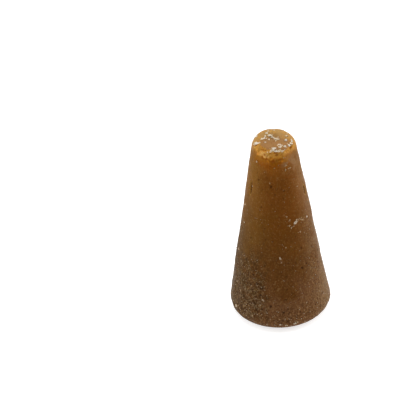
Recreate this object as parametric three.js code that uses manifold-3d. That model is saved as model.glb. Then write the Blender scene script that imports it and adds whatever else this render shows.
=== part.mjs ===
// A piloncillo cone: unrefined cane sugar cast as one lump in a tapered mould, standing on its wide end.
// Millimetres, +Z up, origin at the middle of the base. Bearings run round the cone in degrees from the front,
// -Y, growing towards +X. The side of the top rim that has lost its chips is at the front.
import * as THREE from "three";
import { mergeVertices } from "three/addons/utils/BufferGeometryUtils.js";
import Module from "manifold-3d";

// Driving dimensions of the cast.
const height = 112.8; // table to the middle of the top rim
const baseRadius = 30.6; // where the straight side would meet the table
const topRadius = 11.6; // where the straight side would meet the top
const footRounding = 6.8; // the wide end's edge
const frontRounding = 2.5; // the narrow end's edge, where it was chipped
const backRounding = 8.4; // the same edge, behind
const wearSpread = 0.6; // below 1, the wide rounding reaches further round towards the front
const topTilt = 1.4; // how far the top rim rises behind and falls in front
const dishDepth = 0.7; // the sunken middle of the top

const coneSlope = (baseRadius - topRadius) / height; // radius lost for each millimetre of height
const sideAngle = Math.atan(coneSlope);
const footRadius = baseRadius - footRounding * (coneSlope + 1 / Math.cos(sideAngle)); // the flat of the base

// How finely the cast's skin is divided.
const columns = 80;
const rowCounts = { base: 2, foot: 5, side: 27, shoulder: 8, top: 4 };

// Slow swells that the mould leaves: [size in mm, waves round the cone, waves up the cone, phase].
const swells = [
  [0.28, 2, 0.0, -1.2],
  [0.2, 3, 0.8, 1.1],
  [0.22, 1, 1.5, -0.9],
  [0.12, 5, 1.1, 5.1],
];
// Uneven skin: [depth in mm, lump size in mm].
const lumps = [
  [0.22, 11],
  [0.14, 4.5],
];
const roughPatch = { bearing: -50, up: 26, across: 56, along: 58, depth: 0.3, lump: 3.2 }; // coarse skin

// Chips and scars: bearing, mm below the top rim's crest, width, length, and depth (below zero for a flake).
const chips = [
  { bearing: -47, below: 4.2, across: 5.5, along: 3.6, depth: 0.9 },
  { bearing: -64, below: 4.8, across: 5.0, along: 2.8, depth: 0.5 },
  { bearing: -31, below: 2.8, across: 3.6, along: 2.2, depth: 0.6 },
  { bearing: -30, below: 5.9, across: 5.4, along: 3.4, depth: -0.8 },
  { bearing: -8, below: 4.8, across: 4.6, along: 3.0, depth: 0.5 },
  { bearing: -3, below: 8.0, across: 5.2, along: 3.4, depth: 0.5 },
  { bearing: 9, below: 10.2, across: 5.4, along: 3.6, depth: 0.4 },
  { bearing: 12, below: 3.9, across: 7.0, along: 2.2, depth: 0.6 },
  { bearing: 40, below: 4.3, across: 8.0, along: 2.2, depth: 0.6 },
  { bearing: 118, below: 5.0, across: 5.0, along: 2.8, depth: 0.5 },
  { bearing: -150, below: 6.5, across: 4.6, along: 3.0, depth: 0.5 },
];

// Marks on the side, by bearing and height: long gas marks, open pores, and crystals that stand out.
const gasMarks = [
  { bearing: -66, up: 85.8, across: 1.8, along: 7.5, depth: 0.5 },
  { bearing: 67, up: 82.2, across: 2.8, along: 5.6, depth: 0.5 },
  { bearing: 152, up: 58, across: 2.2, along: 7.5, depth: 0.5 },
];
const knownPores = [
  [-42, 92.4], [-13, 89.8], [12, 87], [-33, 76.7], [38, 39.6], [-40, 25], [6, 27.3], [5.5, 15.3],
];
const loosePores = 34;
const poreRadius = [0.5, 0.95];
const poreSquash = 0.9;
const knownCrystals = [
  [-1, 46.5], [33, 60.3], [54, 66.2], [-79, 72.6], [-51, 102], [-75, 24.3], [-79, 40.6],
];
const sideCrystals = 16;
const crystalRadius = [0.45, 0.95];
const crystalSquash = 0.7;
const sunk = 0.12; // how much of its radius a crystal's middle lies below the skin
const scuff = { bearing: 30, up: 67.2, length: 8, steps: 5, rise: 8, radius: 0.8 }; // a line of torn sugar

// Clumps of crystals on the narrow end: bearing, mm below the crest (below zero on the top), and mm across.
const topClumps = [
  [-113, 5.0, 1.6], [-97, -0.4, 2.4], [-118, -2.3, 2.0], [-133, -4.3, 1.3], [53, -5.6, 3.0], [58, -3.8, 1.5],
  [-59, -1.0, 1.4], [-79, 4.9, 2.8], [-68, 2.5, 1.4], [64, -0.5, 1.6], [61, 3.6, 1.7], [77, 4.3, 1.6],
  [13, 0.6, 1.8], [46, 3.5, 1.6], [31, 1.4, 1.5], [-5, 1.6, 3.2], [-12, 2.5, 1.6], [4, 2.3, 1.5],
  [16, 2.5, 1.8], [-128, 5.8, 1.2], [122, 4.5, 1.2], [165, 6.0, 1.5], [-165, 2.0, 1.8], [140, 0.5, 1.4],
];
const clumpSquash = 0.45; // how flat a clump lies

const turn = THREE.MathUtils.degToRad;
const mix = THREE.MathUtils.lerp;

// A repeatable stream of numbers from 0 to 1.
function seeded(seed) {
  let state = seed;
  return () => {
    state = (state * 1664525 + 1013904223) >>> 0;
    return state / 4294967296;
  };
}

// A fixed pseudo-random value for one corner of a unit lattice, from -1 to 1.
function cornerValue(x, y, z) {
  const wave = Math.sin(x * 127.1 + y * 311.7 + z * 74.7) * 43758.5453;
  return 2 * (wave - Math.floor(wave)) - 1;
}

// Smooth noise with features about one unit across, from -1 to 1.
function softNoise(x, y, z) {
  const [i, j, k] = [x, y, z].map(Math.floor);
  const [u, v, w] = [x - i, y - j, z - k].map((t) => t * t * (3 - 2 * t));
  const edge = (dj, dk) => mix(cornerValue(i, j + dj, k + dk), cornerValue(i + 1, j + dj, k + dk), u);
  return mix(mix(edge(0, 0), edge(1, 0), v), mix(edge(0, 1), edge(1, 1), v), w);
}

// A dome, 1 in its middle and 0 outside an oval of the given width and length.
function oval(sideways, lengthways, across, along) {
  const reach = (2 * sideways / across) ** 2 + (2 * lengthways / along) ** 2;
  return reach < 1 ? Math.sqrt(1 - reach) : 0;
}

// The narrow end at one bearing: rim height, edge rounding, and the crest where the edge turns into the top.
function topEdge(bearing) {
  const behind = 0.5 - 0.5 * Math.cos(turn(bearing));
  const rounding = mix(frontRounding, backRounding, behind ** wearSpread);
  const rim = height + topTilt * (2 * behind - 1);
  const crest = baseRadius - (rim - rounding) * coneSlope - rounding / Math.cos(sideAngle);
  return { rounding, rim, crest };
}

// One point of the bare cast: radius, height, slope of its outward normal, and distance below the crest.
function castPoint(part, share, bearing) {
  const { rounding, rim, crest } = topEdge(bearing);
  const edgeLength = rounding * (Math.PI / 2 - sideAngle);
  if (part === "base") return { r: share * footRadius, z: 0, tilt: -Math.PI / 2, below: height };
  if (part === "foot") {
    const tilt = mix(-Math.PI / 2, sideAngle, share);
    const z = footRounding * (1 + Math.sin(tilt));
    return { r: footRadius + footRounding * Math.cos(tilt), z, tilt, below: rim - z };
  }
  if (part === "side") {
    const low = footRounding * (1 + Math.sin(sideAngle));
    const high = rim - rounding * (1 - Math.sin(sideAngle));
    const z = mix(low, high, share);
    const below = edgeLength + (high - z) / Math.cos(sideAngle);
    return { r: baseRadius - z * coneSlope, z, tilt: sideAngle, below };
  }
  if (part === "shoulder") {
    const tilt = mix(sideAngle, Math.PI / 2, share);
    const z = rim - rounding * (1 - Math.sin(tilt));
    return { r: crest + rounding * Math.cos(tilt), z, tilt, below: rounding * (Math.PI / 2 - tilt) };
  }
  const dish = 1 - (1 - share) ** 2;
  const z = mix(height - dishDepth, rim, 1 - (1 - dish) ** 1.5);
  return { r: share * crest, z, tilt: Math.PI / 2, below: (share - 1) * crest };
}

// How far the uneven skin stands out from the bare cast there.
function relief(bearing, { r, z, below }) {
  const [x, y] = [r * Math.sin(turn(bearing)), -r * Math.cos(turn(bearing))];
  let out = 0;
  for (const [size, round, up, phase] of swells) {
    out += size * Math.cos(round * turn(bearing) + (up * 2 * Math.PI * z) / height + phase);
  }
  out *= Math.min(1, r / topRadius);
  for (const [depth, size] of lumps) out += depth * softNoise(x / size, y / size, z / size);
  const sideways = (mid) => turn(((bearing - mid + 540) % 360) - 180) * r;
  const rough = roughPatch;
  const roughness = oval(sideways(rough.bearing), z - rough.up, rough.across, rough.along);
  out += rough.depth * roughness * softNoise(x / rough.lump, y / rough.lump, z / rough.lump);
  for (const chip of chips) {
    out -= chip.depth * oval(sideways(chip.bearing), below - chip.below, chip.across, chip.along);
  }
  for (const mark of gasMarks) {
    out -= mark.depth * oval(sideways(mark.bearing), z - mark.up, mark.across, mark.along);
  }
  return out * THREE.MathUtils.smoothstep(z, 0, footRounding);
}

// A point on the finished skin, and the way out from it.
function skinPoint(part, share, bearing) {
  const at = castPoint(part, share, bearing);
  const way = new THREE.Vector3(
    Math.sin(turn(bearing)) * Math.cos(at.tilt),
    -Math.cos(turn(bearing)) * Math.cos(at.tilt),
    Math.sin(at.tilt),
  );
  const point = new THREE.Vector3(at.r * Math.sin(turn(bearing)), -at.r * Math.cos(turn(bearing)), at.z);
  point.addScaledVector(way, relief(bearing, at));
  return { point, way };
}

// The skin as a lathe whose rows run from the middle of the base, up the side, to the middle of the top.
function castSkin() {
  const rows = [["base", 0]];
  for (const [part, count] of Object.entries(rowCounts)) {
    for (let step = 1; step <= count; step++) {
      rows.push([part, part === "top" ? 1 - step / count : step / count]);
    }
  }
  const profile = rows.map(([part, share]) => {
    const { r, z } = castPoint(part, share, 0);
    return new THREE.Vector2(r, z);
  });
  const skin = new THREE.LatheGeometry(profile, columns);
  const place = skin.getAttribute("position");
  for (let k = 0; k < place.count; k++) {
    const [part, share] = rows[k % rows.length];
    const bearing = (360 * (Math.floor(k / rows.length) % columns)) / columns;
    const { point } = skinPoint(part, share, bearing);
    place.setXYZ(k, point.x, point.y, point.z);
  }
  return skin;
}

const wasm = await Module();
wasm.setup();

// A closed three.js geometry as a solid that can be joined and cut.
function solidFrom(geometry) {
  const bare = geometry.clone();
  bare.deleteAttribute("normal");
  bare.deleteAttribute("uv");
  const merged = mergeVertices(bare, 1e-4);
  const corners = Array.from(merged.index.array);
  const kept = [];
  for (let k = 0; k < corners.length; k += 3) {
    const [a, b, c] = corners.slice(k, k + 3);
    if (a !== b && b !== c && c !== a) kept.push(a, b, c);
  }
  const places = merged.attributes.position.array;
  const mesh = { numProp: 3, vertProperties: places, triVerts: new Uint32Array(kept) };
  const solid = new wasm.Manifold(new wasm.Mesh(mesh));
  if (solid.volume() > 0) return solid;
  for (let k = 0; k < kept.length; k += 3) [kept[k + 1], kept[k + 2]] = [kept[k + 2], kept[k + 1]];
  mesh.triVerts = new Uint32Array(kept);
  return new wasm.Manifold(new wasm.Mesh(mesh));
}

function geometryFrom(solid) {
  const { numProp, vertProperties, triVerts } = solid.getMesh();
  if (numProp !== 3) throw new Error("the solid holds more than positions");
  const geometry = new THREE.BufferGeometry();
  geometry.setAttribute("position", new THREE.BufferAttribute(vertProperties, 3));
  geometry.setIndex(new THREE.BufferAttribute(triVerts, 1));
  geometry.computeVertexNormals();
  return geometry;
}

// The part of the skin and the share of it at a bearing, for a height on the side.
function atHeight(bearing, up) {
  const { rounding, rim } = topEdge(bearing);
  const low = footRounding * (1 + Math.sin(sideAngle));
  const high = rim - rounding * (1 - Math.sin(sideAngle));
  return ["side", (up - low) / (high - low), bearing];
}

// The same, for a distance below the crest that is still on the top or the rounded edge.
function belowCrest(bearing, below) {
  const { rounding, crest } = topEdge(bearing);
  if (below < 0) return ["top", 1 + below / crest, bearing];
  return ["shoulder", 1 - below / (rounding * (Math.PI / 2 - sideAngle)), bearing];
}

// A small faceted grain, squashed along the way out of the skin and set so deep into it.
function grain({ point, way }, radius, squash, sink, spin) {
  const lump = new THREE.IcosahedronGeometry(radius, 0);
  lump.scale(1, 1, squash);
  lump.rotateZ(spin);
  lump.applyQuaternion(new THREE.Quaternion().setFromUnitVectors(new THREE.Vector3(0, 0, 1), way));
  lump.translate(...point.clone().addScaledVector(way, -sink * radius).toArray());
  return solidFrom(lump);
}

function pores() {
  const draw = seeded(7);
  const spots = knownPores.map(([bearing, up]) => atHeight(bearing, up));
  for (let k = 0; k < loosePores; k++) {
    spots.push(["side", 0.02 + 0.93 * draw(), 360 * ((k + draw()) / loosePores)]);
  }
  return spots.map((spot) => grain(skinPoint(...spot), mix(...poreRadius, draw()), poreSquash, 0, 6 * draw()));
}

function crystals() {
  const draw = seeded(23);
  const made = [];
  const add = (spot, radius, squash) => made.push(grain(skinPoint(...spot), radius, squash, sunk, 6 * draw()));
  const spots = knownCrystals.map(([bearing, up]) => atHeight(bearing, up));
  for (let k = 0; k < sideCrystals; k++) spots.push(["side", draw(), 360 * ((k + 0.8 * draw()) / sideCrystals)]);
  for (const spot of spots) add(spot, mix(...crystalRadius, draw()), crystalSquash);
  for (let k = 0; k < scuff.steps; k++) {
    const along = scuff.length * (k / (scuff.steps - 1) - 0.5);
    const up = scuff.up + along * Math.sin(turn(scuff.rise));
    const aside = (along * Math.cos(turn(scuff.rise))) / (turn(1) * (baseRadius - up * coneSlope));
    add(atHeight(scuff.bearing + aside, up), scuff.radius, crystalSquash);
  }
  for (const [bearing, below, across] of topClumps) add(belowCrest(bearing, below), across / 2, clumpSquash);
  return made;
}

function sugarCone() {
  const cast = solidFrom(castSkin());
  const opened = cast.subtract(wasm.Manifold.union(pores()));
  const whole = opened.add(wasm.Manifold.union(crystals()));
  const geometry = geometryFrom(whole);
  geometry.computeBoundingBox();
  const middle = geometry.boundingBox.getCenter(new THREE.Vector3());
  geometry.translate(-middle.x, -middle.y, 0);
  const sugar = new THREE.MeshStandardMaterial({ color: 0x6b4420, roughness: 0.55, metalness: 0 });
  const mesh = new THREE.Mesh(geometry, sugar);
  mesh.name = "sugar_cone";
  return mesh;
}

const piloncillo = new THREE.Group();
piloncillo.add(sugarCone());
export default piloncillo;
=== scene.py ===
import math

import bpy
import numpy as np
from mathutils import Matrix, Vector


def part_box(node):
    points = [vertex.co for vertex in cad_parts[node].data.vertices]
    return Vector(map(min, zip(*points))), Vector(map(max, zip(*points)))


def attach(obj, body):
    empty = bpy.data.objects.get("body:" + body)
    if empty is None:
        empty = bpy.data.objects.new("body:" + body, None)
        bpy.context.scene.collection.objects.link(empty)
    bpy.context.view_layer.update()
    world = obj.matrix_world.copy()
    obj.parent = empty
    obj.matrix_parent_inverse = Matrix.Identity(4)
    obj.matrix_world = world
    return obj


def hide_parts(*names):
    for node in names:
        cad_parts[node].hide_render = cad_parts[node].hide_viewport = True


# A piloncillo cone: unrefined cane sugar poured into a tapered mould and dried as one lump.
# The frame comes first, then the camera, the cast, the sugar that stands out of it, and the studio.
# Sizes are in millimetres unless a line says otherwise, and mm turns them into Blender's metres.
# Bearings are in degrees round the cone, 0 in front and growing towards the right.

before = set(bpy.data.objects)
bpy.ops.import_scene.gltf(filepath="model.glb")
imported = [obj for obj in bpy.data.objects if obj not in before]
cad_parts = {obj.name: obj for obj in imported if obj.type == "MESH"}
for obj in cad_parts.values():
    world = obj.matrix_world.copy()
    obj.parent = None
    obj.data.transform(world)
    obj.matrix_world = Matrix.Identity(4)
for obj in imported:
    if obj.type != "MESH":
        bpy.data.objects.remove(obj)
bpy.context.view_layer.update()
boxLow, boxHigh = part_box("sugar_cone")
mm = 0.001


def addNode(tree, kind, inputs=None, **settings):  # inputs go by name or number, each a value or a socket
    node = tree.nodes.new(kind)
    for name, value in settings.items():
        setattr(node, name, value)
    for key, value in (inputs or {}).items():
        if isinstance(key, int):
            socket = node.inputs[key]
        else:
            socket = next(s for s in node.inputs if s.enabled and s.name == key)
        if isinstance(value, bpy.types.NodeSocket):
            tree.links.new(value, socket)
        else:
            socket.default_value = value
    return node


def out(node, name=None):  # the output in use with this name, or the first one in use
    return next(s for s in node.outputs if s.enabled and name in (None, s.name))


def hexColour(code):  # "#rrggbb" in sRGB to linear, with alpha
    parts = [int(code[k:k + 2], 16) / 255 for k in (1, 3, 5)]
    return [p / 12.92 if p <= 0.04045 else ((p + 0.055) / 1.055) ** 2.4 for p in parts] + [1.0]


shot = {
    "elevation": 32.0,  # degrees above the table
    "roll": -3.8,  # degrees
    "distance": 850.0,  # from the lens to the foot of the cone
    "pixelSize": 0.594,  # at that distance
    "side": 416,  # pixels
    "footAt": (280.7, 302.7),  # pixels, where the middle of the base falls in the frame
    "sensor": 36.0,
    "farthest": 20.0,  # metres
}


def makeCamera():
    data = bpy.data.cameras.new("productCamera")
    camera = bpy.data.objects.new("productCamera", data)
    bpy.context.scene.collection.objects.link(camera)
    tilt = Matrix.Rotation(math.radians(90 - shot["elevation"]), 4, "X")
    turn = tilt @ Matrix.Rotation(math.radians(shot["roll"]), 4, "Z")
    half = shot["side"] / 2
    across = (shot["footAt"][0] - half) * shot["pixelSize"] * mm
    up = (half - shot["footAt"][1]) * shot["pixelSize"] * mm
    place = turn @ Vector((-across, -up, shot["distance"] * mm))
    camera.matrix_world = Matrix.Translation(place) @ turn
    data.sensor_width = shot["sensor"]
    data.lens = shot["sensor"] * shot["distance"] / shot["pixelSize"] / shot["side"]
    data.clip_end = shot["farthest"]
    bpy.context.scene.camera = camera


makeCamera()
print("camera placed")

cast = {
    "height": 112.8,  # table to the middle of the top rim
    "baseRadius": 30.6,  # where the straight side would meet the table
    "topRadius": 11.6,  # where the straight side would meet the top
    "footRounding": 6.8,
    "frontRounding": 2.5,
    "backRounding": 8.4,
    "wearSpread": 1.2,  # below 2, the wide rounding reaches further round towards the front
    "topTilt": 1.4,  # the rim rises behind and falls in front by this much
    "dishDepth": 0.7,
    "dishFlat": 0.3,  # share of the way out that lies nearly level
    "dishCurve": 1.5,  # above 1, the dish runs level into its rim
    "columns": 420,  # of the mesh
    "rows": {"base": 8, "foot": 16, "side": 152, "shoulder": 30, "top": 16},
    # slow swells that the mould leaves: size, waves round the cone, waves up it, phase
    "swells": [[0.28, 2, 0.0, -1.2], [0.2, 3, 0.8, 1.1], [0.22, 1, 1.5, -0.9], [0.12, 5, 1.1, 5.1]],
    "lumps": [[0.22, 11.0], [0.14, 4.5], [0.07, 2.1], [0.04, 1.1]],  # depth and size
    "calmShare": 0.4,  # what is left of the lumps on the open face
    "calmEdge": [4, 10],  # distances from the axis over which they grow to their full depth
    "fineFrom": [0.05, 2.0],  # heights over which the fine skin sets in, as the base stays flat
    "roughPatch": {"bearing": -64, "up": 16, "across": 52, "along": 78, "depth": 0.3, "lump": 3.2},
}
slope = (cast["baseRadius"] - cast["topRadius"]) / cast["height"]
sideAngle = math.atan(slope)
footRadius = cast["baseRadius"] - cast["footRounding"] * (slope + 1 / math.cos(sideAngle))

# Chips: bearing, mm below the top rim's crest, width, length, and depth (below zero for a flake left on).
chips = [
    [-47, 4.2, 5.5, 3.6, 0.9],
    [-64, 4.8, 5.0, 2.8, 0.5],
    [-31, 2.8, 3.6, 2.2, 0.6],
    [-30, 5.9, 5.4, 3.4, -0.8],
    [-3, 8.0, 5.2, 3.4, 0.5],
    [5, 7.6, 4.0, 2.4, 0.4],
    [12, 3.9, 7.0, 2.2, 0.6],
    [40, 4.3, 8.0, 2.2, 0.6],
    [118, 5.0, 5.0, 2.8, 0.5],
    [-150, 6.5, 4.6, 3.0, 0.5],
]
# Where the edge has crumbled away: bearing, mm below the crest, width and length.
# The amber hollow is deep enough to show the inside of the cast.
crumbled = {"edge": [-28, 5.4, 23, 7.4], "amberHollow": [-3, 8.0, 10, 4.6]}
# Layers of noise have an amount, a width and a height of their features, and a shift in x and y.
brokenSugar = {
    "raggedRound": [[0.55, 1.6, 1.6, 11, -11]],  # how the outlines wander round the cone
    "raggedUp": [[0.55, 1.6, 1.6, 37, -37]],  # and up it
    "markRagged": 0.7,  # share of that for gas marks
    "crumbleRagged": 0.35,
    "crumbleEdge": [1.15, 0.75],  # where it starts and is at its full depth, 1 being the oval's edge
    "chipEdge": [0, 0.3],
    "crumbs": [[0.6, 1.5, 1.2, 5, 0], [0.4, 0.75, 0.6, 0, 9]],
    "crumbDepth": 0.55,
    "sunk": 0.15,
}
# Long marks that gas left against the mould: bearing, height, width, length and depth.
gasMarks = [[-63, 85.6, 2.7, 11.4, 0.5], [67, 81.4, 4.2, 7.0, 0.5], [152, 58, 2.2, 8.0, 0.5]]
pores = {
    "shown": [  # bearing and height
        [-42, 92.4], [-13, 89.8], [12, 87], [-33, 76.7], [38, 39.6], [-40, 25], [6, 27.3], [5.5, 15.3],
        [-27.4, 23.2], [-40.3, 34.3], [-14.6, 17.3], [3.4, 21.3], [0, 13.3],
        [52.3, 48.2], [30, 38.3], [32.6, 50.5], [-24.9, 14.6],
    ],
    "loose": 22,  # more on the sides and behind
    "looseShare": [0.02, 0.93],  # where they start on the side, and how much of it they cover
    "looseBearing": [75, 210],
    "radius": [0.4, 0.75],
    "pinholes": 160,
    "pinholeLow": 1.3,  # above 1, there are more of them near the foot
    "pinholeRadius": [0.25, 0.42],
    "width": 1.15,  # each one in radii
    "depth": 1.1,
    # where a pore's painted shade starts and is full
    "colourEdge": [1.15, 0.45],
    "seed": 7,
}
# How the colours lie on the skin. A pair of numbers is where a colour starts and where it is full.
tints = {
    "ragged": [[0.9, 2.3, 2.3, 0, 0], [0.5, 0.8, 0.8, 0, 0]],  # how their edges wander
    "fullMark": 0.5,  # a gas mark this deep shows its colours in full
    # Painted glow: the golden narrow end stands for light that shines through its thin edge
    "goldenFrom": 107.0,  # the narrow end is golden above this height
    "goldenEdge": [-2.4, 2.0],
    "goldenEdgeBehind": [4.0, 1.0],  # softer behind, by this much each way
    "goldenWander": [1.6, 6.0],  # how far and how often its lower edge wanders; twice as far behind
    "amberHollow": 0.85,  # how much of the gold the hollow takes away
    "face": {"forward": 6.0, "across": 16.6, "along": 12.6},  # the open face lies off the axis, in front
    "faceEdge": [1.18, 0.82],
    "faceRagged": 0.12,
    "faceRise": 1.5,
    "faceBroken": 0.85,  # how much of it the broken edge takes away
    "coarseEdge": [0.05, 0.9],
    "coarseRagged": 0.25,
    "coarseStreaks": [0.3, 9.0, 26.0, 0, 0],  # soft streaks that run up it
    "stainEdge": [1.25, 0.45],
    "stainRagged": 0.18,
    # Burnt syrup under the chipped edge, and a dusty patch beside it: bearing, height, width and length.
    "stains": {"burnt": [-13, 104.5, 25, 11], "dusty": [35, 101.5, 13, 11]},
    "behind": [60, 120],
    "dustAndSheenRight": [-10, 10],  # the right side and the back take dust and painted sheen, the left side takes painted shade
    "dustAndSheenBack": [110, 180],
    # Sugar bloom with painted sheen: the flanks are lighter the further they turn from the front.
    "bloomAndSheen": [22, 75],
    "bloomAndSheenTurn": 7,  # degrees that it starts nearer to the front on the left
    # Dust with painted sheen on the right side and the back
    "dustAndSheen": [20, 70],
    # Painted shade: the left flank is darker below the top
    "shade": [40, 75],
    "shadeUp": [80, 50],
}
# How thickly loose grains lie: everywhere, and what is added, with where that starts and where it is full.
grainCover = {
    "everywhere": 0.14,
    "coarse": 0.3,
    "low": [0.22, 52, 26],
    "lowWander": [9, 13, 26, 0, 0],  # the sandy foot has no level edge
    "foot": [0.6, 20, 8],
    "ragged": 0.1,
    "dustyHeight": [0.3, 84, 60],
    "dustyBearing": [25, 55],
    "least": 0.05,
    "freeOfTable": [0.5, 3.0],
}


def seeded(seed):  # a repeatable stream of numbers from 0 to 1
    state = seed
    while True:
        state = (state * 1664525 + 1013904223) % 4294967296
        yield state / 4294967296


def smooth(low, high, value):  # 0 at low, 1 at high, soft between them
    t = np.clip((value - low) / (high - low), 0, 1)
    return t * t * (3 - 2 * t)


def cornerValue(x, y, z):
    wave = np.sin(x * 127.1 + y * 311.7 + z * 74.7) * 43758.5453
    return 2 * (wave - np.floor(wave)) - 1


def softNoise(x, y, z):  # features about one unit across, from -1 to 1
    i, j, k = np.floor(x), np.floor(y), np.floor(z)
    u, v, w = (t * t * (3 - 2 * t) for t in (x - i, y - j, z - k))
    total = 0
    for di, du in ((0, 1 - u), (1, u)):
        for dj, dv in ((0, 1 - v), (1, v)):
            for dk, dw in ((0, 1 - w), (1, w)):
                total = total + cornerValue(i + di, j + dj, k + dk) * du * dv * dw
    return total


def layeredNoise(layers, x, y, z):
    return sum(
        amount * softNoise(x / wide + shiftX, y / wide + shiftY, z / high)
        for amount, wide, high, shiftX, shiftY in layers
    )


def oval(sideways, lengthways, across, along):  # a dome, 1 in its middle and 0 outside
    reach = (2 * sideways / across) ** 2 + (2 * lengthways / along) ** 2
    return np.sqrt(np.clip(1 - reach, 0, 1))


def ovalReach(sideways, lengthways, across, along):  # 0 in the middle of an oval and 1 on its edge
    return np.hypot(2 * sideways / across, 2 * lengthways / along)


def topEdge(bearing):  # rounding of the narrow end's edge, height of its rim, radius where the top starts
    behind = 0.5 - 0.5 * np.cos(np.radians(bearing))
    worn = np.abs(np.sin(np.radians(bearing) / 2)) ** cast["wearSpread"]
    rounding = cast["frontRounding"] + (cast["backRounding"] - cast["frontRounding"]) * worn
    rim = cast["height"] + cast["topTilt"] * (2 * behind - 1)
    crest = cast["baseRadius"] - (rim - rounding) * slope - rounding / math.cos(sideAngle)
    return rounding, rim, crest


def castPoint(part, share, bearing):  # bare cast: radius, height, tilt of the way out, mm below the crest
    rounding, rim, crest = topEdge(bearing)
    level = np.zeros_like(bearing, dtype=float)
    foot = cast["footRounding"]
    if part == "base":
        return level + share * footRadius, level, level - math.pi / 2, level + cast["height"]
    if part == "foot":
        tilt = -math.pi / 2 + (sideAngle + math.pi / 2) * share
        z = level + foot * (1 + math.sin(tilt))
        return level + footRadius + foot * math.cos(tilt), z, level + tilt, rim - z
    if part == "side":
        low = foot * (1 + math.sin(sideAngle))
        high = rim - rounding * (1 - math.sin(sideAngle))
        z = low + (high - low) * share
        below = rounding * (math.pi / 2 - sideAngle) + (high - z) / math.cos(sideAngle)
        return cast["baseRadius"] - z * slope, z, level + sideAngle, below
    if part == "shoulder":
        tilt = sideAngle + (math.pi / 2 - sideAngle) * share
        z = rim - rounding * (1 - math.sin(tilt))
        return crest + rounding * math.cos(tilt), z, level + tilt, rounding * (math.pi / 2 - tilt)
    flat = cast["dishFlat"]
    softened = (np.sqrt(share ** 2 + flat ** 2) - flat) / (math.sqrt(1 + flat ** 2) - flat)
    dish = 1 - (1 - softened) ** 2
    middle = cast["height"] - cast["dishDepth"]
    z = middle + (rim - middle) * (1 - (1 - dish) ** cast["dishCurve"])
    return share * crest, z, level + math.pi / 2, (share - 1) * crest


def sideShare(bearing, up):  # the side's share that lies at a height
    rounding, rim, crest = topEdge(bearing)
    low = cast["footRounding"] * (1 + math.sin(sideAngle))
    high = rim - rounding * (1 - math.sin(sideAngle))
    return (up - low) / (high - low)


def atHeight(bearing, up):  # part of the skin and share of it, at a height below the narrow end's edge
    share = sideShare(bearing, up)
    if share >= 0:
        return "side", share
    tilt = math.asin(up / cast["footRounding"] - 1)
    return "foot", (tilt + math.pi / 2) / (sideAngle + math.pi / 2)


def onTop(bearing, r):  # the same, by the distance from the axis
    rounding, rim, crest = topEdge(bearing)
    if r < crest:
        return "top", r / crest
    tilt = math.acos(min(1, (r - crest) / rounding))
    return "shoulder", max(0, (tilt - sideAngle) / (math.pi / 2 - sideAngle))


def fromFront(bearing):  # degrees from the front, below zero on the left
    return (bearing + 180) % 360 - 180


def awayFrom(bearing, middle, r):  # mm round the cone from a bearing
    return np.radians((bearing - middle + 540) % 360 - 180) * r


def mouldRelief(bearing, r, x, y, z):  # swells and lumps, and how coarse the skin is
    rise = 0
    for size, waves, up, phase in cast["swells"]:
        turned = waves * np.radians(bearing) + up * 2 * math.pi * z / cast["height"]
        rise = rise + size * np.cos(turned + phase)
    rise = rise * np.minimum(1, r / cast["topRadius"])
    calm = cast["calmShare"] + (1 - cast["calmShare"]) * smooth(*cast["calmEdge"], r)
    for depth, size in cast["lumps"]:
        rise = rise + depth * calm * softNoise(x / size, y / size, z / size)
    rough = cast["roughPatch"]
    sideways = awayFrom(bearing, rough["bearing"], r)
    coarse = oval(sideways, z - rough["up"], rough["across"], rough["along"])
    lump = rough["lump"]
    return rise + rough["depth"] * coarse * softNoise(x / lump, y / lump, z / lump), coarse


def edgeRelief(rise, bearing, r, x, y, z, below):  # adds chips, crumbled sugar and gas marks, and says where
    raggedRound = layeredNoise(brokenSugar["raggedRound"], x, y, z)
    raggedUp = layeredNoise(brokenSugar["raggedUp"], x, y, z)
    chipped, flake, mark = 0 * r, 0 * r, 0 * r
    for middle, under, across, along, depth in chips:
        dome = oval(awayFrom(bearing, middle, r) + raggedRound, below - under + raggedUp, across, along)
        rise = rise - depth * dome
        chipped = np.maximum(chipped, dome)
        if depth < 0:
            flake = np.maximum(flake, dome)
    broken = smooth(*brokenSugar["chipEdge"], chipped)
    gone = {}
    for name, (middle, under, across, along) in crumbled.items():
        reach = ovalReach(awayFrom(bearing, middle, r), below - under, across, along)
        gone[name] = smooth(*brokenSugar["crumbleEdge"], reach + brokenSugar["crumbleRagged"] * raggedRound)
        broken = np.maximum(broken, gone[name])
    crumb = layeredNoise(brokenSugar["crumbs"], x, y, z)
    rise = rise + broken * (brokenSugar["crumbDepth"] * crumb - brokenSugar["sunk"])
    for middle, up, across, along, depth in gasMarks:
        sideways = awayFrom(bearing, middle, r) + brokenSugar["markRagged"] * raggedRound
        dome = oval(sideways, z - up + raggedUp, across, along)
        rise = rise - depth * dome
        mark = np.maximum(mark, depth / tints["fullMark"] * dome)
    known = {"flake": flake, "mark": mark, "broken": broken, "crumb": 0.5 + 0.5 * crumb}
    return rise, known, gone["amberHollow"]


def narrowEnd(x, y, z, turned, broken, hollow, ragged):  # how far the open face and the golden sugar show
    behind = smooth(*tints["behind"], turned)
    goldenFrom, opening = tints["goldenFrom"], tints["face"]
    reach = ovalReach(x, y + opening["forward"], opening["across"], opening["along"])
    face = smooth(*tints["faceEdge"], reach + tints["faceRagged"] * ragged)
    face = face * smooth(goldenFrom, goldenFrom + tints["faceRise"], z) * (1 - tints["faceBroken"] * broken)
    wander, often = tints["goldenWander"]
    height = z - goldenFrom + ((wander + wander * behind) * softNoise(x / often, y / often, 0) + ragged)
    (low, high), (lower, higher) = tints["goldenEdge"], tints["goldenEdgeBehind"]
    golden = smooth(low - lower * behind, high + higher * behind, height)
    return {"face": face, "golden": golden * (1 - tints["amberHollow"] * hollow)}


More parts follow.
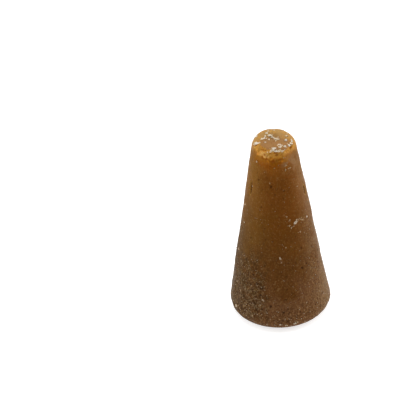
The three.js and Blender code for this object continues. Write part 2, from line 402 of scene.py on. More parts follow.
def grainWeight(x, y, z, turned, dustAndSheenSide, coarse, ragged):  # how thickly loose grains lie
    settled = z + layeredNoise([grainCover["lowWander"]], x, y, z)
    amount, low, high = grainCover["low"]
    weight = grainCover["everywhere"] + grainCover["coarse"] * coarse + amount * smooth(low, high, settled)
    amount, low, high = grainCover["foot"]
    weight = weight + amount * smooth(low, high, z) + grainCover["ragged"] * ragged
    amount, low, high = grainCover["dustyHeight"]
    weight = weight + amount * smooth(low, high, z) * smooth(*grainCover["dustyBearing"], turned) * dustAndSheenSide
    return np.clip(weight, grainCover["least"], 1) * smooth(*grainCover["freeOfTable"], z)


def broadRelief(bearing, r, z, below):  # how far the skin stands out, and where its marks and colours lie
    x, y = r * np.sin(np.radians(bearing)), -r * np.cos(np.radians(bearing))
    ragged = layeredNoise(tints["ragged"], x, y, z)
    rise, coarse = mouldRelief(bearing, r, x, y, z)
    rise, known, hollow = edgeRelief(rise, bearing, r, x, y, z, below)
    uneven = tints["coarseRagged"] * ragged + layeredNoise([tints["coarseStreaks"]], x, y, z)
    coarse = smooth(*tints["coarseEdge"], coarse ** 2 + uneven * (coarse > 0))
    for name, (middle, up, across, along) in tints["stains"].items():
        reach = ovalReach(awayFrom(bearing, middle, r), z - up, across, along)
        known[name] = smooth(*tints["stainEdge"], reach + tints["stainRagged"] * ragged)
    turned = np.abs(fromFront(bearing))
    # the right side and the back, which take dust and painted sheen
    dustAndSheenSide = smooth(*tints["dustAndSheenRight"], fromFront(bearing))
    dustAndSheenSide = np.maximum(dustAndSheenSide, smooth(*tints["dustAndSheenBack"], turned))
    known["coarse"] = coarse
    # sugar bloom and painted sheen on the flanks
    known["bloomAndSheen"] = smooth(*tints["bloomAndSheen"], turned - tints["bloomAndSheenTurn"] * np.sin(np.radians(bearing)))
    # dust and painted sheen on the right side and the back
    known["dustAndSheen"] = smooth(*tints["dustAndSheen"], turned) * dustAndSheenSide
    # painted shade on the left flank
    known["shade"] = smooth(*tints["shade"], turned) * (1 - dustAndSheenSide) * smooth(*tints["shadeUp"], z)
    known["grains"] = grainWeight(x, y, z, turned, dustAndSheenSide, coarse, ragged)
    known.update(narrowEnd(x, y, z, turned, known["broken"], hollow, ragged))
    return rise, known


def porePlaces():  # share of the side, bearing and radius of every open pore
    draw = seeded(pores["seed"])
    spots = [[sideShare(bearing, up), bearing] for bearing, up in pores["shown"]]
    (shareFrom, shares), (bearingFrom, bearings) = pores["looseShare"], pores["looseBearing"]
    for k in range(pores["loose"]):
        share = shareFrom + shares * next(draw)
        spots.append([share, bearingFrom + bearings * (k + next(draw)) / pores["loose"]])
    low, high = pores["radius"]
    for spot in spots:
        spot.append(low + (high - low) * next(draw))
        next(draw)  # passed over, so that the pinholes stay where they are
    low, high = pores["pinholeRadius"]
    for k in range(pores["pinholes"]):
        share = next(draw) ** pores["pinholeLow"]
        spots.append([share, 360 * next(draw), low + (high - low) * next(draw) ** 2])
    return spots


def skinPoint(part, share, bearing):  # places on the broad skin, the way out there, and what else is known
    r, z, tilt, below = castPoint(part, share, bearing)
    rise, known = broadRelief(bearing, r, z, below)
    turned = np.radians(bearing)
    way = np.stack([np.sin(turned) * np.cos(tilt), -np.cos(turned) * np.cos(tilt), np.sin(tilt)], -1)
    place = np.stack([r * np.sin(turned), -r * np.cos(turned), z], -1)
    place += way * (rise * smooth(0, cast["footRounding"], z))[..., None]
    return place, way, known


def castSkin():
    rows = [["base", 0.0]]
    for part, count in cast["rows"].items():
        for step in range(1, count + 1):
            rows.append([part, 1 - step / count if part == "top" else step / count])
    bearing = np.arange(cast["columns"]) * 360 / cast["columns"]
    made = [skinPoint(part, share, bearing) for part, share in rows]
    place = np.array([m[0] for m in made])
    way = np.array([m[1] for m in made])
    known = {name: np.array([m[2][name] for m in made]) for name in made[0][2]}
    known["pore"] = np.zeros(place.shape[:2])
    for share, middle, radius in porePlaces():
        centre = skinPoint("side", share, np.array([middle]))[0][0]
        apart = np.linalg.norm(place - centre, axis=-1) / (pores["width"] * radius)
        place -= way * (pores["depth"] * radius * np.sqrt(np.clip(1 - apart ** 2, 0, 1)))[..., None]
        # where the pores take their painted shade
        known["pore"] = np.maximum(known["pore"], smooth(*pores["colourEdge"], apart))
    return place, known


def ringMesh(name, place):  # closes rows of points, the first and last row being one point each
    count, columns = place.shape[:2]
    points = np.concatenate([place[:1, 0], place[1:-1].reshape(-1, 3), place[-1:, 0]])
    last = len(points) - 1
    start = lambda row: 1 + (row - 1) * columns
    faces = []
    for column in range(columns):
        beside = (column + 1) % columns
        faces.append((0, start(1) + beside, start(1) + column))
        for row in range(1, count - 2):
            low, high = start(row), start(row + 1)
            faces.append((low + column, low + beside, high + beside, high + column))
        faces.append((start(count - 2) + column, start(count - 2) + beside, last))
    mesh = bpy.data.meshes.new(name)
    mesh.from_pydata(points * mm, [], faces)
    return mesh


def keepInBox(mesh):  # nothing stands out of the solid's own box
    points = np.zeros(len(mesh.vertices) * 3)
    mesh.vertices.foreach_get("co", points)
    points = np.clip(points.reshape(-1, 3), boxLow, boxHigh)
    mesh.vertices.foreach_set("co", points.ravel())
    mesh.update()


def makeObject(name, mesh):
    piece = bpy.data.objects.new(name, mesh)
    bpy.context.scene.collection.objects.link(piece)
    return piece


def groupTree(name, sizes):  # an empty Geometry Nodes tree with named inputs
    tree = bpy.data.node_groups.new(name, "GeometryNodeTree")
    tree.interface.new_socket("Geometry", in_out="INPUT", socket_type="NodeSocketGeometry")
    tree.interface.new_socket("Geometry", in_out="OUTPUT", socket_type="NodeSocketGeometry")
    for size, value in sizes.items():
        kind = "NodeSocketInt" if isinstance(value, int) else "NodeSocketFloat"
        tree.interface.new_socket(size, in_out="INPUT", socket_type=kind).default_value = value
    return tree


def runTree(piece, tree, sizes):  # sets the inputs, then turns the result into a plain mesh
    modifier = piece.modifiers.new(tree.name, "NODES")
    modifier.node_group = tree
    for socket in tree.interface.items_tree:
        if socket.in_out == "INPUT" and socket.name in sizes:
            modifier[socket.identifier] = sizes[socket.name]
    graph = bpy.context.evaluated_depsgraph_get()
    made = piece.evaluated_get(graph)
    mesh = bpy.data.meshes.new_from_object(made, preserve_all_data_layers=True, depsgraph=graph)
    piece.modifiers.remove(modifier)
    piece.data = mesh
    keepInBox(mesh)
    return piece


fineSkin = {
    "Grain Size": 0.9 * mm,  # sugar grains in the skin, drawn about twice their real size so that they show
    "Grain Depth": 0.05 * mm,
    "Coarse Depth": 0.16 * mm,  # more in the coarse patch
}


def fineSkinTree(material):
    tree = groupTree("fineSkin", fineSkin)
    given = addNode(tree, "NodeGroupInput").outputs
    perMetre = addNode(tree, "ShaderNodeMath", {0: 1.0, 1: given["Grain Size"]}, operation="DIVIDE")
    noise = addNode(tree, "ShaderNodeTexNoise", {"Scale": out(perMetre), "Detail": 2.0})
    level = addNode(tree, "ShaderNodeMath", {0: out(noise, "Fac"), 1: 0.5}, operation="SUBTRACT")
    coarse = addNode(tree, "GeometryNodeInputNamedAttribute", {"Name": "coarse"})
    depth = addNode(tree, "ShaderNodeMath", {
        0: out(coarse, "Attribute"), 1: given["Coarse Depth"], 2: given["Grain Depth"],
    }, operation="MULTIPLY_ADD")
    free = addNode(tree, "GeometryNodeInputNamedAttribute", {"Name": "free"})
    amount = addNode(tree, "ShaderNodeMath", {0: out(level), 1: out(depth)}, operation="MULTIPLY")
    faded = addNode(tree, "ShaderNodeMath", {
        0: out(amount), 1: out(free, "Attribute"),
    }, operation="MULTIPLY")
    normal = addNode(tree, "GeometryNodeInputNormal")
    offset = addNode(tree, "ShaderNodeVectorMath", {0: out(normal), "Scale": out(faded)}, operation="SCALE")
    moved = addNode(tree, "GeometryNodeSetPosition", {"Geometry": given["Geometry"], "Offset": out(offset)})
    shaded = addNode(tree, "GeometryNodeSetShadeSmooth", {0: out(moved)})
    real = addNode(tree, "GeometryNodeRealizeInstances", {0: out(shaded)})
    painted = addNode(tree, "GeometryNodeSetMaterial", {"Geometry": out(real), "Material": material})
    addNode(tree, "NodeGroupOutput", {0: out(painted)})
    return tree


# Raw cane sugar, cast hot and dried: amber glass full of tiny crystals. Light goes a few millimetres in,
# so thin edges and fresh breaks look golden and the middle looks dark, under a dull skin of fine grains.
castSugar = {
    "colours": {
        "foot": "#634124",
        "low": "#593510",
        "middle": "#613809",
        "upper": "#683b0c",
        "underRim": "#754410",
        "burnt": "#7f4504",
        "amber": "#9b6518",
        "dusty": "#805d3a",
        # sugar bloom with painted sheen on the flanks
        "bloomAndSheen": "#79521d",
        # dust with painted sheen, greyer
        "dustAndSheen": "#705538",
        "dark": "#4d2c0e",
        "olive": "#604819",
        # painted shade for the left flank
        "shade": "#473215",
        # painted glow of light through the thin narrow end
        "golden": "#a87534",
        "backGold": "#a27d4a",
        "pocket": "#ba8433",
        # painted shade in the hollows of the crumbled sugar, and painted highlights on its crests
        "pitShade": "#9a5a10",
        "lowPitShade": "#854302",
        "crest": "#c2954e",
        "lowCrestHighlight": "#b66d19",
        "flake": "#c09250",
        "face": "#8d6740",
        "coarse": "#382409",
        "coarseDark": "#2c1807",
        "coarseOlive": "#463518",
        "grainDark": "#38200a",
        "grainLight": "#8c6d48",
        "wisp": "#7f6b50",
        "markRim": "#9c7538",
        "markPit": "#543100",
        "speck": "#96744c",
        # painted shade in the open pores, darker near the foot
        "pore": "#4c2806",
        "lowPoreShade": "#2c1202",
    },
    "noises": {  # mm across, and detail
        "blotch": [15.0, 3.0],
        "mottle": [3.5, 3.0],
        "grain": [0.9, 2.0],  # drawn about twice as coarse as it is, so that it shows
        "winding": [3.2, 2.0],
    },
    "wobble": 60.0,  # the changes of colour do not run level
    "specks": {  # mm apart, size and sharpness in cells, and which cells hold one
        "fineSpecks": {"apart": 1.5, "size": 0.3, "sharp": 0.4, "chosenFrom": 0.3},
        "largeSpecks": {"apart": 3.0, "size": 0.2, "sharp": 0.4, "chosenFrom": 0.5},
    },
    "thinDustAndSheen": {"From Min": 50.0, "From Max": 86.0, "To Min": 0.85, "To Max": 0.38},  # thinner further up
    # Coats of colour, each over the last: colour, strength, and the masks that say where it lies. A mask is
    # something known of the skin, or its name with where it starts and where it is full.
    "coats": [
        ["low", 1.0, ("up", 18, 33)],
        ["middle", 1.0, ("up", 42, 68)],
        ["upper", 1.0, ("up", 60, 80)],
        ["underRim", 1.0, ("up", 90, 106)],
        ["dark", 0.3, ("mottle", 0.55, 0.8)],
        ["olive", 0.35, ("mottle", 0.45, 0.2), ("up", 20, 60)],
        ["olive", 0.35, ("x", -2, -16), ("up", 30, 60)],
        # sugar bloom and painted sheen: the upper flanks are lighter
        ["bloomAndSheen", 0.7, "bloomAndSheen", ("up", 60, 100)],
        # dust and painted sheen, thinner further up
        ["dustAndSheen", 1.0, "dustAndSheen", "thinDustAndSheen", ("blotch", 0.2, 0.6)],
        ["burnt", 0.9, "burnt"],
        ["amber", 0.75, "burnt", ("z", 101.5, 106)],
        ["dusty", 0.9, "dusty", ("mottle", 0.35, 0.6)],
        ["coarse", 0.75, "coarse"],
        ["coarseDark", 0.6, "coarse", ("mottle", 0.52, 0.66)],
        ["coarseOlive", 0.5, "coarse", ("mottle", 0.48, 0.34)],
        ["wisp", 0.6, "coarse", ("winding", 0.045, 0.01), ("blotch", 0.3, 0.6)],
        # painted shade: the left flank is darker
        ["shade", 0.5, "shade"],
        # painted shade in the crumbs' hollows and painted highlights on their crests
        ["lowPitShade", 0.8, "broken", ("crumb", 0.5, 0.3)],
        ["lowCrestHighlight", 0.8, "broken", ("crumb", 0.5, 0.7)],
        # painted glow: the golden narrow end, for light shining through its thin edge
        ["gold", 1.0, "golden"],
        ["gold", 1.0, ("flake", 0.0, 0.3)],
        ["face", 0.9, "face"],
        ["markRim", 0.5, ("mark", 0.0, 0.4), ("mottle", 0.35, 0.55)],
        ["markPit", 1.0, ("mark", 0.4, 0.75), ("grain", 0.72, 0.58)],
        ["grainDark", 0.75, ("grains", -0.3, 1.0), ("grain", 0.5, 0.34)],
        ["grainLight", 0.75, ("grains", -0.3, 1.0), ("grain", 0.54, 0.72)],
        ["speck", 0.25, "fineSpecks"],
        ["speck", 0.35, "largeSpecks"],
        # painted shade in the open pores
        ["hole", 0.75, "pore"],
    ],
    "goldCoats": [
        ["backGold", 1.0, ("y", -7, 3)],
        ["pocket", 0.5, ("mottle", 0.5, 0.75)],
        ["pocket", 0.8, "broken"],
        ["flake", 0.85, ("flake", 0.05, 0.5)],
        # painted shade in the crumbs' hollows and painted highlights on their crests
        ["pitShade", 0.9, "broken", ("crumb", 0.48, 0.28)],
        ["crest", 0.7, "broken", ("crumb", 0.55, 0.75)],
    ],
    # painted shade in the pores
    "holeCoats": [["pore", 1.0, ("up", 40, 75)]],
    "bump": {"grain": 0.6, "fineSpecks": 0.4, "depth": 0.12, "strength": 0.35},
    "roughness": {"From Min": 0.3, "From Max": 0.7, "To Min": 0.44, "To Max": 0.62},  # by the mottle
    "index": 1.5,
    "specular": 0.03,  # the grains hide nearly all of the gloss
    "glow": 0.15,  # share of the light that goes in
    "glowDepth": 2.0,
    "glowTint": (1.0, 0.45, 0.15),
}


def newMaterial(name):
    material = bpy.data.materials.new(name)
    material.use_nodes = True
    material.node_tree.nodes.clear()
    return material


def rawSugarMaterial():
    look = castSugar
    material = newMaterial("castRawSugar")
    tree = material.node_tree
    metres = out(addNode(tree, "ShaderNodeTexCoord"), "Object")
    place = out(addNode(tree, "ShaderNodeVectorMath", {0: metres, "Scale": 1 / mm}, operation="SCALE"))
    axes = addNode(tree, "ShaderNodeSeparateXYZ", {"Vector": place})
    known = {"x": out(axes, "X"), "y": out(axes, "Y"), "z": out(axes, "Z")}
    for name in castKnown:
        known[name] = addNode(tree, "ShaderNodeAttribute", attribute_name=name).outputs["Fac"]
    for name, (size, detail) in look["noises"].items():
        noise = addNode(tree, "ShaderNodeTexNoise", {"Vector": place, "Scale": 1 / size, "Detail": detail})
        known[name] = out(noise, "Fac")
    swing = addNode(tree, "ShaderNodeMath", {0: known["blotch"], 1: 0.5}, operation="SUBTRACT")
    wavering = {0: out(swing), 1: look["wobble"], 2: known["z"]}
    known["up"] = out(addNode(tree, "ShaderNodeMath", wavering, operation="MULTIPLY_ADD"))
    swing = addNode(tree, "ShaderNodeMath", {0: known["winding"], 1: 0.5}, operation="SUBTRACT")
    known["winding"] = out(addNode(tree, "ShaderNodeMath", {0: out(swing)}, operation="ABSOLUTE"))
    known["thinDustAndSheen"] = out(addNode(tree, "ShaderNodeMapRange", {"Value": known["up"], **look["thinDustAndSheen"]}))

    def where(strength, masks):  # how strongly a coat shows: its strength times all its masks
        for mask in masks:
            if isinstance(mask, tuple):
                name, low, high = mask
                step = {"Value": known[name], "From Min": low, "From Max": high}
                mask = out(addNode(tree, "ShaderNodeMapRange", step, interpolation_type="SMOOTHSTEP"))
            else:
                mask = known[mask]
            strength = out(addNode(tree, "ShaderNodeMath", {0: strength, 1: mask}, operation="MULTIPLY"))
        return strength

    for name, speck in look["specks"].items():  # some of the cells of a pattern hold a round speck
        cells = addNode(tree, "ShaderNodeTexVoronoi", {"Vector": place, "Scale": 1 / speck["apart"]})
        lot = addNode(tree, "ShaderNodeSeparateColor", {"Color": out(cells, "Color")})
        known["lot"], known["away"] = out(lot, "Red"), out(cells, "Distance")
        known[name] = where(1.0, [
            ("away", speck["size"], speck["sharp"] * speck["size"]), ("lot", speck["chosenFrom"], 1.0),
        ])

    colours = {name: hexColour(code) for name, code in look["colours"].items()}

    def coated(colour, coats):
        for over, strength, *masks in coats:
            mix = {"Factor": where(strength, masks), "A": colour, "B": colours[over]}
            colour = out(addNode(tree, "ShaderNodeMix", mix, data_type="RGBA"))
        return colour

    colours["gold"] = coated(colours["golden"], look["goldCoats"])
    colours["hole"] = coated(colours["lowPoreShade"], look["holeCoats"])
    colour = coated(colours["foot"], look["coats"])

    bump = look["bump"]
    raised = {0: known["fineSpecks"], 1: bump["fineSpecks"]}
    specks = addNode(tree, "ShaderNodeMath", raised, operation="MULTIPLY")
    raised = {0: known["grain"], 1: bump["grain"], 2: out(specks)}
    height = addNode(tree, "ShaderNodeMath", raised, operation="MULTIPLY_ADD")
    bumpy = addNode(tree, "ShaderNodeBump", {
        "Height": out(height), "Distance": bump["depth"] * mm, "Strength": bump["strength"],
    })
    dull = addNode(tree, "ShaderNodeMapRange", {"Value": known["mottle"], **look["roughness"]})
    shader = addNode(tree, "ShaderNodeBsdfPrincipled", {
        "Base Color": colour,
        "Roughness": out(dull),
        "IOR": look["index"],
        "Specular IOR Level": look["specular"],
        "Subsurface Weight": look["glow"],
        "Subsurface Radius": look["glowTint"],
        "Subsurface Scale": look["glowDepth"] * mm,
        "Normal": out(bumpy),
    })
    addNode(tree, "ShaderNodeOutputMaterial", {"Surface": out(shader)})
    return material


# Sugar that has dried on the outside: small cloudy crystals, nearly white in the clumps on the narrow end,
# and tan where they are thin or lie alone. Sucrose bends light a little more than glass does.
crystals = {
    "index": 1.54,
    "specular": 0.15,
    "glowDepth": 0.8,
    "glowTint": (1.0, 0.8, 0.6),
    "patchEdge": (0.35, 0.6),  # where the noise turns from amber to bright
}
clumpSugar = {
    "bright": "#e4dac8",
    "amber": "#ccb18a",
    "thin": "#8e6b42",
    "patch": 2.0,
    "roughness": 0.4,
    "glow": 0.3,
}
grainSugar = {
    "bright": "#a29078",
    "amber": "#7a6347",
    "thin": "#6a4e32",
    "patch": 1.2,
    "roughness": 0.45,
    "glow": 0.2,
}


def crystalMaterial(name, look, toneFrom):
    material = newMaterial(name)
    tree = material.node_tree
    place = out(addNode(tree, "ShaderNodeTexCoord"), "Object")
    colours = {part: hexColour(look[part]) for part in ("bright", "amber", "thin")}
    patch = addNode(tree, "ShaderNodeTexNoise", {
        "Vector": place, "Scale": 1 / (look["patch"] * mm), "Detail": 2.0,
    })
    low, high = crystals["patchEdge"]
    share = addNode(tree, "ShaderNodeMapRange", {
        "Value": out(patch, "Fac"), "From Min": low, "From Max": high,
    })
    patched = {"Factor": out(share), "A": colours["amber"], "B": colours["bright"]}
    blend = addNode(tree, "ShaderNodeMix", patched, data_type="RGBA")
    tone = addNode(tree, "ShaderNodeAttribute", attribute_name=toneFrom).outputs["Fac"]
    toned = {"Factor": tone, "A": colours["thin"], "B": out(blend)}
    shader = addNode(tree, "ShaderNodeBsdfPrincipled", {
        "Base Color": out(addNode(tree, "ShaderNodeMix", toned, data_type="RGBA")),
        "Roughness": look["roughness"],
        "IOR": crystals["index"],
        "Specular IOR Level": crystals["specular"],
        "Subsurface Weight": look["glow"],
        "Subsurface Radius": crystals["glowTint"],
        "Subsurface Scale": crystals["glowDepth"] * mm,
    })
    addNode(tree, "ShaderNodeOutputMaterial", {"Surface": out(shader)})
    return material


castPlaces, castKnown = castSkin()
castShift = (castPlaces.reshape(-1, 3).min(0) + castPlaces.reshape(-1, 3).max(0)) / 2
castShift -= np.array(boxLow + boxHigh) / 2 / mm  # to the middle of the solid's box
castShift[2] = 0


def makeCast():
    place = castPlaces - castShift
    mesh = ringMesh("sugarCast", place)
    known = {**castKnown, "free": smooth(*cast["fineFrom"], place[..., 2])}
    for name, values in known.items():
        layer = mesh.attributes.new(name, "FLOAT", "POINT")
        kept = np.concatenate([values[:1, 0], values[1:-1].ravel(), values[-1:, 0]])
        layer.data.foreach_set("value", kept.astype(np.float32))
    return runTree(makeObject("sugarCast", mesh), fineSkinTree(rawSugarMaterial()), fineSkin)


sugarCast = makeCast()
print("cast made:", len(sugarCast.data.polygons), "faces")

looseGrains = {
    "Per Square Metre": 120000.0,
    "Smallest": 0.18 * mm,
    "Largest": 0.38 * mm,
    "Flatness": 0.6,
    "Unevenness": 0.18 * mm,
    "Detail": 1,
    "Seed": 5,
}
facets = 0.5  # mm across
anyTurn = 6.28  # radians


def grainTree(name, sizes, material, scattered):  # faceted grains, scattered over a skin or set on points
    tree = groupTree(name, sizes)
    given = addNode(tree, "NodeGroupInput").outputs
    ball = addNode(tree, "GeometryNodeMeshIcoSphere", {"Radius": 1.0, "Subdivisions": given["Detail"]})
    if scattered:
        weight = addNode(tree, "GeometryNodeInputNamedAttribute", {"Name": "grains"})
        density = addNode(tree, "ShaderNodeMath", {
            0: out(weight, "Attribute"), 1: given["Per Square Metre"],
        }, operation="MULTIPLY")
        spread = addNode(tree, "GeometryNodeDistributePointsOnFaces", {
            "Mesh": given["Geometry"], "Density": out(density), "Seed": given["Seed"],
        })
        points, way = out(spread, "Points"), out(spread, "Normal")
        size = out(addNode(tree, "FunctionNodeRandomValue", {
            "Min": given["Smallest"], "Max": given["Largest"], "Seed": given["Seed"],
        }, data_type="FLOAT"))
    else:
        points = given["Geometry"]
        facing = addNode(tree, "GeometryNodeInputNamedAttribute", {"Name": "way"}, data_type="FLOAT_VECTOR")
        way = out(facing, "Attribute")
        size = out(addNode(tree, "GeometryNodeInputNamedAttribute", {"Name": "size"}), "Attribute")
    spin = addNode(tree, "FunctionNodeRandomValue", {
        "Max": anyTurn, "Seed": given["Seed"],
    }, data_type="FLOAT")
    turned = addNode(tree, "FunctionNodeAxisAngleToRotation", {"Axis": (0, 0, 1), "Angle": out(spin)})
    upright = addNode(tree, "FunctionNodeAlignRotationToVector", {
        "Rotation": out(turned), "Vector": way,
    }, axis="Z")
    thin = addNode(tree, "ShaderNodeMath", {0: size, 1: given["Flatness"]}, operation="MULTIPLY")
    scale = addNode(tree, "ShaderNodeCombineXYZ", {"X": size, "Y": size, "Z": out(thin)})
    placed = addNode(tree, "GeometryNodeInstanceOnPoints", {
        "Points": points, "Instance": out(ball, "Mesh"), "Rotation": out(upright), "Scale": out(scale),
    })
    apart = addNode(tree, "GeometryNodeRealizeInstances", {0: out(placed)})
    wave = addNode(tree, "ShaderNodeTexNoise", {"Scale": 1 / (facets * mm), "Detail": 1.0})
    swing = {0: out(wave, "Color"), 1: (0.5, 0.5, 0.5)}
    level = addNode(tree, "ShaderNodeVectorMath", swing, operation="SUBTRACT")
    pushed = {0: out(level), "Scale": given["Unevenness"]}
    offset = addNode(tree, "ShaderNodeVectorMath", pushed, operation="SCALE")
    moved = addNode(tree, "GeometryNodeSetPosition", {"Geometry": out(apart), "Offset": out(offset)})
    real = addNode(tree, "GeometryNodeRealizeInstances", {0: out(moved)})
    painted = addNode(tree, "GeometryNodeSetMaterial", {"Geometry": out(real), "Material": material})
    addNode(tree, "NodeGroupOutput", {0: out(painted)})
    return tree


def makeLooseGrains():
    piece = makeObject("looseGrains", sugarCast.data.copy())
    material = crystalMaterial("looseSugarGrains", grainSugar, "grains")
    return runTree(piece, grainTree("looseGrains", looseGrains, material, True), looseGrains)


# Clumps of dried sugar. On top: x, y, length, width and the length's heading. On the side: bearing, height,
# length, width, lean of the length, and tone from tan to white.
clumps = {
    "top": [
        [-3.1, 4.4, 0.7, 0.5, 0], [-3.9, 2.7, 0.9, 0.6, 0], [-2.3, 1.3, 1.9, 1.5, 0],
        [-1.4, 0.6, 1.5, 0.6, -40], [-0.2, -0.2, 2.0, 0.6, -40], [1.2, -1.2, 2.4, 1.3, -30],
        [2.4, 0.0, 0.7, 0.5, 60], [-6.7, -1.0, 2.0, 0.7, 10], [-5.4, -0.5, 1.2, 0.9, 0],
        [-5.0, 1.0, 0.9, 1.5, 0], [-9.4, 3.4, 1.8, 1.1, 40], [-5.4, -4.0, 0.9, 0.7, 0],
        [-10.6, -2.2, 2.6, 1.5, -20], [-8.9, -3.6, 2.2, 0.6, -20], [-1.1, -10.7, 2.3, 1.4, 0],
        [-2.2, -11.5, 2.2, 1.0, 30], [-0.2, -11.7, 2.4, 0.7, -10], [1.8, -11.6, 2.0, 0.6, 20],
        [2.5, -9.6, 1.5, 0.8, 0], [2.4, -7.1, 1.3, 0.7, 30], [1.2, -8.2, 0.9, 0.4, 60],
        [5.2, -8.7, 1.2, 1.1, 0], [7.7, -7.2, 1.5, 0.8, -30], [3.4, -11.3, 2.0, 0.8, 25],
        [5.1, -10.5, 1.0, 0.4, 20], [6.1, -3.0, 1.1, 1.4, 0], [6.5, 0.0, 1.0, 0.7, 0],
        [9.5, -3.1, 0.7, 2.2, 0], [9.7, -4.9, 0.8, 1.2, 0], [8.8, -5.4, 1.3, 0.6, 0],
        [7.4, 3.2, 0.7, 0.5, 0], [-4.3, -11.2, 0.7, 0.5, 0], [-3.1, -1.4, 0.6, 0.4, 30],
        [0.7, -3.2, 0.5, 0.4, 0], [3.6, -8.2, 0.6, 0.4, 0], [6.5, -9.0, 0.6, 0.5, 0],
        [0.4, 5.0, 0.5, 0.4, 40], [-5.0, 8.2, 0.9, 0.6, 0], [5.6, 8.6, 0.9, 0.6, 20],
    ],
    "side": [
        [27.6, 66.8, 2.4, 1.5, 50, 0.5], [29.6, 68, 2.0, 0.9, 60, 0.35], [17.5, 65.9, 1.9, 0.9, 20, 0.15],
        [21, 64.6, 1.5, 0.8, 30, 0.15], [18.4, 69.1, 1.5, 0.6, 50, 0.15], [34, 68, 2.2, 0.9, 40, 0.1],
        [39.4, 68.1, 1.5, 0.7, 40, 0.1], [41.5, 66.8, 1.1, 0.7, 0, 0.2], [53.5, 66.6, 1.2, 1.0, 0, 0.45],
        [33.3, 60.2, 1.4, 1.0, 0, 0.15], [13, 71.8, 0.8, 0.5, 0, 0.1], [-0.8, 46.5, 1.6, 0.6, 110, 0.3],
        [0.1, 43.9, 0.8, 0.5, 0, 0.15], [8.8, 53.1, 1.1, 0.6, 10, 0.1], [-79, 43.3, 1.8, 1.0, 60, 0.25],
        [-70.4, 23.7, 1.4, 1.0, 0, 0.35], [-59.3, 20.4, 1.2, 0.9, 0, 0.1], [-66, 8.5, 2.0, 1.2, 0, 0.6],
        [-23.2, 20.6, 1.3, 0.9, 0, 0.3], [29, 16.6, 0.9, 0.6, 0, 0.2], [-80.2, 72.1, 1.2, 0.8, 0, 0.4],
        [-54.4, 102, 1.2, 0.8, 0, 0.3], [-25.8, 97.4, 0.9, 0.7, 0, 0.0], [-15.2, 91.7, 0.9, 0.7, 0, 0.0],
        [-57.4, 86.9, 0.8, 0.6, 0, 0.1], [-4.8, 100.6, 0.9, 0.6, 0, 0.0], [19, 106.2, 0.9, 0.7, 0, 0.2],
        [21.7, 101.5, 1.1, 0.6, 0, 0.1], [19.9, 98.9, 1.4, 0.6, 80, 0.05], [29.7, 99.3, 1.6, 0.8, 0, 0.15],
        [43, 87.2, 0.9, 0.6, 0, 0.05], [-12.7, 10.7, 1.3, 0.7, 150, 0.1], [-4.9, 9.3, 0.8, 0.6, 0, 0.1],
        [-3.2, 5.7, 1.2, 0.8, 0, 0.3], [2.9, 4.9, 1.6, 0.8, 0, 0.4], [8.1, 4.1, 1.2, 0.6, 0, 0.35],
        [13.3, 5.7, 2.0, 0.9, 30, 0.5], [15.9, 6.4, 1.4, 0.7, 30, 0.35], [-27.5, 39.8, 1.1, 0.3, 56, 0.0],
        [-33.5, 36.4, 1.1, 0.3, 56, 0.0],
    ],
    "topTone": [1.0, 0.2],  # nearly white, less this much at most
    "loose": 26,  # more on the sides and behind
    "looseBearing": [70, 220],  # where they start, and how far round they go
    "looseLength": [0.7, 2.0],
    "looseWidth": 0.6,  # of the length
    "looseTone": 0.5,  # at most
    "grain": [0.36, 0.66],  # radius
    "grainMix": 1.5,  # above 1, most of them are small
    "grainsPerArea": 5.0,
    "smallClump": [0.55, 0.5],  # the grains of a small clump are smaller
    "tanSize": 0.7,  # and so are tan ones
    "crumbs": {"share": 0.3, "reach": 1.8, "size": 0.45},  # small grains that lie outside
    "dome": 0.12,  # a clump is higher in its middle
    "sunk": 0.05,
    "lean": 0.5,  # how far single grains lean away from the skin's own way out
    "seed": 31,
}
clumpSizes = {"Flatness": 0.55, "Unevenness": 0.7 * mm, "Detail": 2, "Seed": 11}


def clumpSpots(draw):  # part and share of the skin, bearing, length, width, lean and tone of every clump
    spots = []
    for x, y, length, width, heading in clumps["top"]:
        bearing = math.degrees(math.atan2(x, -y))
        white, less = clumps["topTone"]
        tone = white - less * next(draw)
        spots.append([onTop(bearing, math.hypot(x, y)), bearing, length, width, heading - bearing, tone])
    spots += [[atHeight(bearing, up), bearing, *rest] for bearing, up, *rest in clumps["side"]]
    (bearingFrom, bearings), (short, long) = clumps["looseBearing"], clumps["looseLength"]
    for k in range(clumps["loose"]):
        bearing = bearingFrom + bearings * (k + next(draw)) / clumps["loose"]
        length = short + (long - short) * next(draw) ** 2
        spot = [("side", next(draw)), bearing, length, clumps["looseWidth"] * length]
        spots.append(spot + [180 * next(draw), clumps["looseTone"] * next(draw)])
    return spots


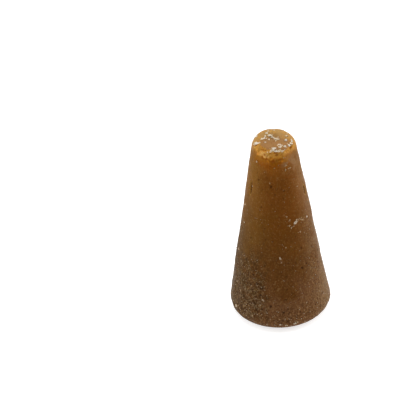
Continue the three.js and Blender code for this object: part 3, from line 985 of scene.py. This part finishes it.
def clumpPoints():  # the middle, way out, radius and tone of every crystal in the clumps
    draw = seeded(clumps["seed"])
    crumbs, (low, high), (least, more) = clumps["crumbs"], clumps["grain"], clumps["smallClump"]
    points, ways, radii, tones = [], [], [], []
    for (part, share), bearing, length, width, lean, tone in clumpSpots(draw):
        place, way, known = skinPoint(part, share, np.array([float(bearing)]))
        place, way = place[0], way[0]
        around = np.array([math.cos(math.radians(bearing)), math.sin(math.radians(bearing)), 0])
        inward = np.cross(way, around)
        size = min(1, least + more * math.sqrt(length * width))
        toned = clumps["tanSize"] + (1 - clumps["tanSize"]) * tone
        leaning = math.radians(lean)
        for k in range(max(2, round(clumps["grainsPerArea"] * length * width))):
            outside = next(draw) < crumbs["share"]
            reach = math.sqrt(next(draw)) * (crumbs["reach"] if outside else 1)
            turned = 2 * math.pi * next(draw)
            u, v = reach * math.cos(turned) * length / 2, reach * math.sin(turned) * width / 2
            offset = around * (u * math.cos(leaning) - v * math.sin(leaning))
            offset = offset + inward * (u * math.sin(leaning) + v * math.cos(leaning))
            above = way * clumps["dome"] * (1 - min(reach, 1))
            points.append(place + offset + above - way * clumps["sunk"])
            ways.append(way + clumps["lean"] * np.array([next(draw) - 0.5 for axis in range(3)]))
            radius = low + (high - low) * next(draw) ** clumps["grainMix"]
            radii.append(radius * toned * (crumbs["size"] if outside else size))
            tones.append(tone)
    return np.array(points), np.array(ways), np.array(radii), np.array(tones)


def makeClumps():
    points, ways, radii, tones = clumpPoints()
    mesh = bpy.data.meshes.new("driedSugar")
    mesh.from_pydata((points - castShift) * mm, [], [])
    mesh.attributes.new("way", "FLOAT_VECTOR", "POINT").data.foreach_set("vector", ways.ravel())
    mesh.attributes.new("size", "FLOAT", "POINT").data.foreach_set("value", radii * mm)
    mesh.attributes.new("tone", "FLOAT", "POINT").data.foreach_set("value", tones)
    material = crystalMaterial("driedSugarCrystals", clumpSugar, "tone")
    tree = grainTree("driedSugar", clumpSizes, material, False)
    return runTree(makeObject("driedSugar", mesh), tree, clumpSizes)


looseGrainsPiece = makeLooseGrains()
driedSugarPiece = makeClumps()
print("sugar scattered:", len(looseGrainsPiece.data.polygons) + len(driedSugarPiece.data.polygons), "faces")

studio = {
    "floor": "#c8c8c8",
    "floorGlow": 0.7,  # lit from below, so that shadows stay faint
    "floorRoughness": 0.9,
    "floorSize": 8.0,  # metres
    "white": "#ffffff",
    "worldStrength": 0.35,
    "backdropStrength": 1.0,  # what the camera sees behind the floor
    "lights": {  # place and size in metres, power in watts
        "topSoftbox": {"at": (0.0, 0.35, 1.5), "size": (1.2, 1.2), "power": 16.0},
        "leftSoftbox": {"at": (-1.1, 0.15, 0.55), "size": (0.9, 1.2), "power": 9.0},
        "rightSoftbox": {"at": (1.1, 0.2, 0.55), "size": (0.9, 1.2), "power": 12.0},
    },
}


def makeFloor():
    half = studio["floorSize"] / 2
    mesh = bpy.data.meshes.new("floor")
    corners = [(-half, -half, 0), (half, -half, 0), (half, half, 0), (-half, half, 0)]
    mesh.from_pydata(corners, [], [(0, 1, 2, 3)])
    material = newMaterial("lightTableAcrylic")
    shader = addNode(material.node_tree, "ShaderNodeBsdfPrincipled", {
        "Base Color": hexColour(studio["floor"]),
        "Roughness": studio["floorRoughness"],
        "Specular IOR Level": 0.0,
        "Emission Color": hexColour(studio["white"]),
        "Emission Strength": studio["floorGlow"],
    })
    addNode(material.node_tree, "ShaderNodeOutputMaterial", {"Surface": out(shader)})
    mesh.materials.append(material)
    makeObject("floor", mesh)


def makeWorld():
    world = bpy.data.worlds.new("studio")
    world.use_nodes = True
    tree = world.node_tree
    tree.nodes.clear()
    seen = addNode(tree, "ShaderNodeLightPath").outputs["Is Camera Ray"]
    strength = addNode(tree, "ShaderNodeMapRange", {
        "Value": seen, "To Min": studio["worldStrength"], "To Max": studio["backdropStrength"],
    })
    sky = addNode(tree, "ShaderNodeBackground", {
        "Color": hexColour(studio["white"]), "Strength": out(strength),
    })
    addNode(tree, "ShaderNodeOutputWorld", {"Surface": out(sky)})
    bpy.context.scene.world = world
    bpy.context.scene.view_settings.view_transform = "Standard"


def makeLights():
    middle = Vector((0, 0, cast["height"] * mm / 2))
    for name, light in studio["lights"].items():
        lamp = bpy.data.lights.new(name, "AREA")
        lamp.shape = "RECTANGLE"
        lamp.size, lamp.size_y = light["size"]
        lamp.energy = light["power"]
        softbox = bpy.data.objects.new(name, lamp)
        bpy.context.scene.collection.objects.link(softbox)
        turn = (middle - Vector(light["at"])).to_track_quat("-Z", "Y")
        softbox.matrix_world = Matrix.Translation(light["at"]) @ turn.to_matrix().to_4x4()


makeFloor()
makeWorld()
makeLights()
print("studio set")

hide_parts("sugar_cone")
for piece in (sugarCast, looseGrainsPiece, driedSugarPiece):
    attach(piece, "root")
